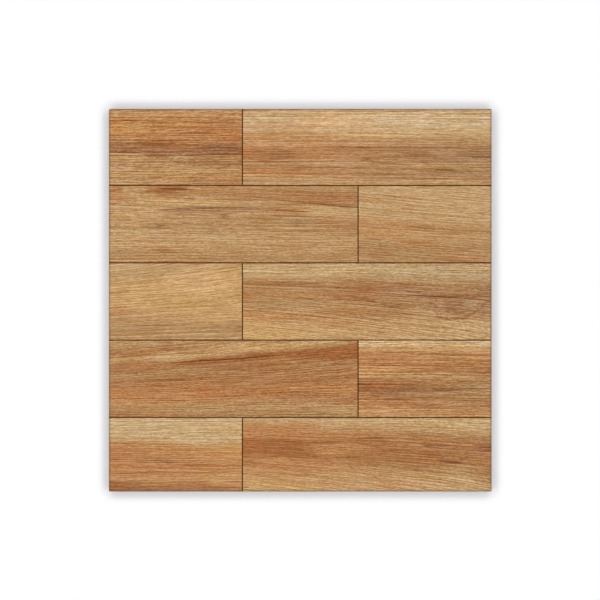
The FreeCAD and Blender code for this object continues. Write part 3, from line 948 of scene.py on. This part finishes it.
body = bpy.data.materials.new("fired porcelain body")
body.use_nodes = True
tree = body.node_tree
spot = add(tree, "ShaderNodeTexCoord").outputs["Object"]
sand = {"Vector": spot, "Scale": 1 / (SPECK_SIZE * MM), "Detail": BODY_DETAIL}
specks = add(tree, "ShaderNodeTexNoise", sand).outputs[0]
amount = add(tree, "ShaderNodeMapRange", {"Value": specks, **SPECK_RANGE}).outputs[0]
tints = {0: amount, 6: linear(BODY_HEX), 7: linear(SPECK_HEX)}
clay = add(tree, "ShaderNodeMix", tints, data_type="RGBA").outputs[2]
runs = {"Vector": spot, "Scale": 1 / (RUN_LENGTH * MM), "Detail": BODY_DETAIL}
wobble = add(tree, "ShaderNodeTexNoise", runs).outputs[0]
up = add(tree, "ShaderNodeSeparateXYZ", {0: spot}).outputs["Z"]
waved = {0: wobble, 1: GLAZE_RUN * MM, 2: up}
edge = add(tree, "ShaderNodeMath", waved, operation="MULTIPLY_ADD").outputs[0]
arris_foot = FACE_HEIGHT - ARRIS_RADIUS
reached = {"Value": edge, "From Min": (arris_foot - RUN_EDGE) * MM, "From Max": (arris_foot + RUN_EDGE) * MM}
glazed = add(tree, "ShaderNodeMapRange", reached).outputs[0]
colour = add(tree, "ShaderNodeMix", {0: glazed, 6: clay, 7: linear(RUN_HEX)}, data_type="RGBA").outputs[2]
surface = tree.nodes["Principled BSDF"]
surface.inputs["Roughness"].default_value = BODY_ROUGHNESS
tree.links.new(colour, surface.inputs["Base Color"])
grit = {"Height": specks, "Distance": GRIT_HEIGHT * MM, "Strength": GRIT_STRENGTH}
tree.links.new(add(tree, "ShaderNodeBump", grit).outputs[0], surface.inputs["Normal"])
tile.data.materials.append(body)
print(body.name, "made")

# %% [markdown]
# ## The kiln wash on the ribs
# Tiles travel through the kiln on rollers. A wash of white alumina powder on the ribs keeps them from
# sticking. It is chalky and patchy, and it rubs off, so the body shows through.

# %% Alumina wash
WASH_HEX = "#DDD8CC"
WASH_PATCH, WASH_DETAIL = 14.0, 5.0  # mm from patch to patch, and finer noise inside them
WORN_RANGE = {"From Min": 0.42, "From Max": 0.58}  # where in its noise the wash thins and is gone
WASH_ROUGHNESS = 0.9

wash = bpy.data.materials.new("alumina kiln wash")
wash.use_nodes = True
tree = wash.node_tree
spot = add(tree, "ShaderNodeTexCoord").outputs["Object"]
patches = {"Vector": spot, "Scale": 1 / (WASH_PATCH * MM), "Detail": WASH_DETAIL}
rubbed = add(tree, "ShaderNodeTexNoise", patches).outputs[0]
thin = add(tree, "ShaderNodeMapRange", {"Value": rubbed, **WORN_RANGE}).outputs[0]
chalk = {0: thin, 6: linear(WASH_HEX), 7: linear(BODY_HEX)}
surface = tree.nodes["Principled BSDF"]
surface.inputs["Roughness"].default_value = WASH_ROUGHNESS
tree.links.new(add(tree, "ShaderNodeMix", chalk, data_type="RGBA").outputs[2], surface.inputs["Base Color"])
tile.data.materials.append(wash)
print(wash.name, "made")

# %% [markdown]
# ## A map for baking
# A game engine can't run these nodes, so the finish gets baked into a picture, and that needs a flat map
# of the tile. The face gets most of the picture, with its full height across the grain, where detail is
# fine. The sides are four strips, and the back, which lies hidden, gets the rest.

# %% Bake map
FACE_MAP, BACK_MAP, SIDE_STRIP, SIDE_GAP = (0.335, 0.998), (0.09, 0.325), 0.018, 0.002
MAP_RIM = 0.001  # share of the picture left free at its top and bottom
SIDE_REACH = 2.0  # mm in from the outline that still belong to the sides
UPRIGHT = 0.5  # a face whose normal rises or falls less than this is upright

mesh = tile.data
corner_point = np.empty(len(mesh.loops), int)
mesh.loops.foreach_get("vertex_index", corner_point)
corner_count = np.array([p.loop_total for p in mesh.polygons])
corner_face = np.repeat(np.arange(len(mesh.polygons)), corner_count)
normals = np.array([p.normal for p in mesh.polygons])[corner_face]
spots = points[corner_point]
along = (spots[:, 0] + HALF_LENGTH) / (2 * HALF_LENGTH)
up_map = MAP_RIM + (1 - 2 * MAP_RIM) * (spots[:, 1] + HALF_WIDTH) / (2 * HALF_WIDTH)
on_face = np.array(surfaces)[corner_face] < BODY
inset = np.min([HALF_LENGTH, HALF_WIDTH] - np.abs(spots[:, :2]), axis=1)
on_side = ~on_face & (np.abs(normals[:, 2]) < UPRIGHT) & (inset < SIDE_REACH)
span = np.where(on_face, FACE_MAP[1] - FACE_MAP[0], BACK_MAP[1] - BACK_MAP[0])
uv = np.stack([np.where(on_face, FACE_MAP[0], BACK_MAP[0]) + span * along, up_map], axis=1)
faces_x = np.abs(normals[:, 0]) > np.abs(normals[:, 1])
side = np.where(faces_x, 0, 2) + (np.where(faces_x, normals[:, 0], normals[:, 1]) > 0)
strip = SIDE_GAP + side * (SIDE_STRIP + SIDE_GAP) + SIDE_STRIP * spots[:, 2] / FACE_HEIGHT
side_up = np.where(faces_x, up_map, MAP_RIM + (1 - 2 * MAP_RIM) * along)
uv[on_side] = np.stack([strip, side_up], axis=1)[on_side]
mesh.uv_layers.new(name="OFBake").uv.foreach_set("vector", uv.ravel())
print(f"bake map: {on_face.mean():.0%} of the corners on the face")

# %% [markdown]
# ## Joining the frame
# The dressed tile stands for the bare slab and moves with the only body there is.

# %% Ride and replace
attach(tile, "root")
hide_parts("porcelain_tile")
triangles = sum(p.loop_total - 2 for p in tile.data.polygons)
print(f"{tile.name}: {triangles} triangles")

# %% [markdown]
# ## The floor
# The tile lies on a sweep of white paper. It looks white to the camera and in reflections, but to soft
# bounced light it is a mid grey, so it doesn't throw light back up at the tile. Its white is a touch warm,
# which evens out the blue of the sky.

# %% Floor
def looked_at(tree):
    """1 for rays that show the background itself: to the camera, in a reflection or through glass."""
    rays = add(tree, "ShaderNodeLightPath").outputs
    straight = {0: rays["Is Camera Ray"], 1: rays["Is Glossy Ray"]}
    mirrored = add(tree, "ShaderNodeMath", straight, operation="ADD").outputs[0]
    every = {0: mirrored, 1: rays["Is Transmission Ray"]}
    return add(tree, "ShaderNodeMath", every, operation="ADD", use_clamp=True).outputs[0]


FLOOR_REACH = 3.0  # metres from the tile's middle
FLOOR_GAP = 0.05  # mm below the ribs, so that the two surfaces don't fight
BOUNCE_HEX = "#707070"
PAPER_WHITE = (1.035, 1.02, 1.0, 1.0)

floor_mesh = bpy.data.meshes.new("studio_floor")
corner_signs = [(-1, -1), (1, -1), (1, 1), (-1, 1)]
floor_corners = [(FLOOR_REACH * sx, FLOOR_REACH * sy, 0) for sx, sy in corner_signs]
floor_mesh.from_pydata(floor_corners, [], [[0, 1, 2, 3]])
floor_object = bpy.data.objects.new("studio_floor", floor_mesh)
floor_object.location.z = -FLOOR_GAP * MM
bpy.context.scene.collection.objects.link(floor_object)
paper = bpy.data.materials.new("white paper sweep")
paper.use_nodes = True
tree = paper.node_tree
whites = {0: looked_at(tree), 6: linear(BOUNCE_HEX), 7: PAPER_WHITE}
white = add(tree, "ShaderNodeMix", whites, data_type="RGBA").outputs[2]
matt = add(tree, "ShaderNodeBsdfDiffuse", {"Color": white}).outputs[0]
tree.links.new(matt, tree.nodes["Material Output"].inputs["Surface"])
tree.nodes.remove(tree.nodes["Principled BSDF"])
floor_mesh.materials.append(paper)
print("floor laid")

# %% [markdown]
# ## The light
# Flat work is lit from all sides and not from above: light from above would come straight back off the
# glaze as a grey sheen. So the light is a ring, a third of the way up the sky, and its low rays draw a
# soft dark rim on the floor all round the tile. The rest of the sky is a weak blue that fills the rim.
# Lamps could stand in a circle, but a ring in the world has no gaps and no noise.

# %% Light
RING_FROM, RING_TO = math.radians(25), math.radians(45)
RING_STRENGTH = 2.95
SKY_HEX = "#142236"

world = bpy.data.worlds.new("ring of light")
world.use_nodes = True
bpy.context.scene.world = world
tree = world.node_tree
direction = add(tree, "ShaderNodeTexCoord").outputs["Generated"]
rise = add(tree, "ShaderNodeSeparateXYZ", {0: direction}).outputs["Z"]
ring = add(tree, "ShaderNodeValToRGB", {0: rise})
ring.color_ramp.interpolation = "CONSTANT"
stops = ring.color_ramp.elements
stops[0].color = linear(SKY_HEX)
stops[1].position = math.sin(RING_FROM)
stops[1].color = linear("#FFFFFF")
stops.new(math.sin(RING_TO)).color = linear(SKY_HEX)
lit = add(tree, "ShaderNodeBackground", {"Color": ring.outputs[0], "Strength": RING_STRENGTH}).outputs[0]
white = add(tree, "ShaderNodeBackground", {"Color": linear("#FFFFFF")}).outputs[0]
sky = add(tree, "ShaderNodeMixShader", {0: looked_at(tree), 1: lit, 2: white}).outputs[0]
tree.links.new(sky, tree.nodes["World Output"].inputs["Surface"])
print("lights on")

# %% [markdown]
# ## The camera
# The picture looks straight down, from far enough that the edges show no lean. The tile covers 382.7 of
# the picture's 600 pixels, and its middle lies a quarter pixel right of and below the picture's middle.

# %% Camera
PICTURE_PIXELS = 600
TILE_PIXELS = 382.7
OFF_MIDDLE_PIXELS = 0.25
LENS = 100.0  # mm

pixel = 2 * HALF_LENGTH * MM / TILE_PIXELS
camera = bpy.data.cameras.new("camera")
camera.lens = LENS
camera_object = bpy.data.objects.new("camera", camera)
distance = PICTURE_PIXELS * pixel * LENS / camera.sensor_width
camera_object.location = (-OFF_MIDDLE_PIXELS * pixel, OFF_MIDDLE_PIXELS * pixel, FACE_HEIGHT * MM + distance)
bpy.context.scene.collection.objects.link(camera_object)
bpy.context.scene.camera = camera_object
bpy.context.scene.view_settings.view_transform = "Standard"
print(f"camera {distance:.2f} m above the face")
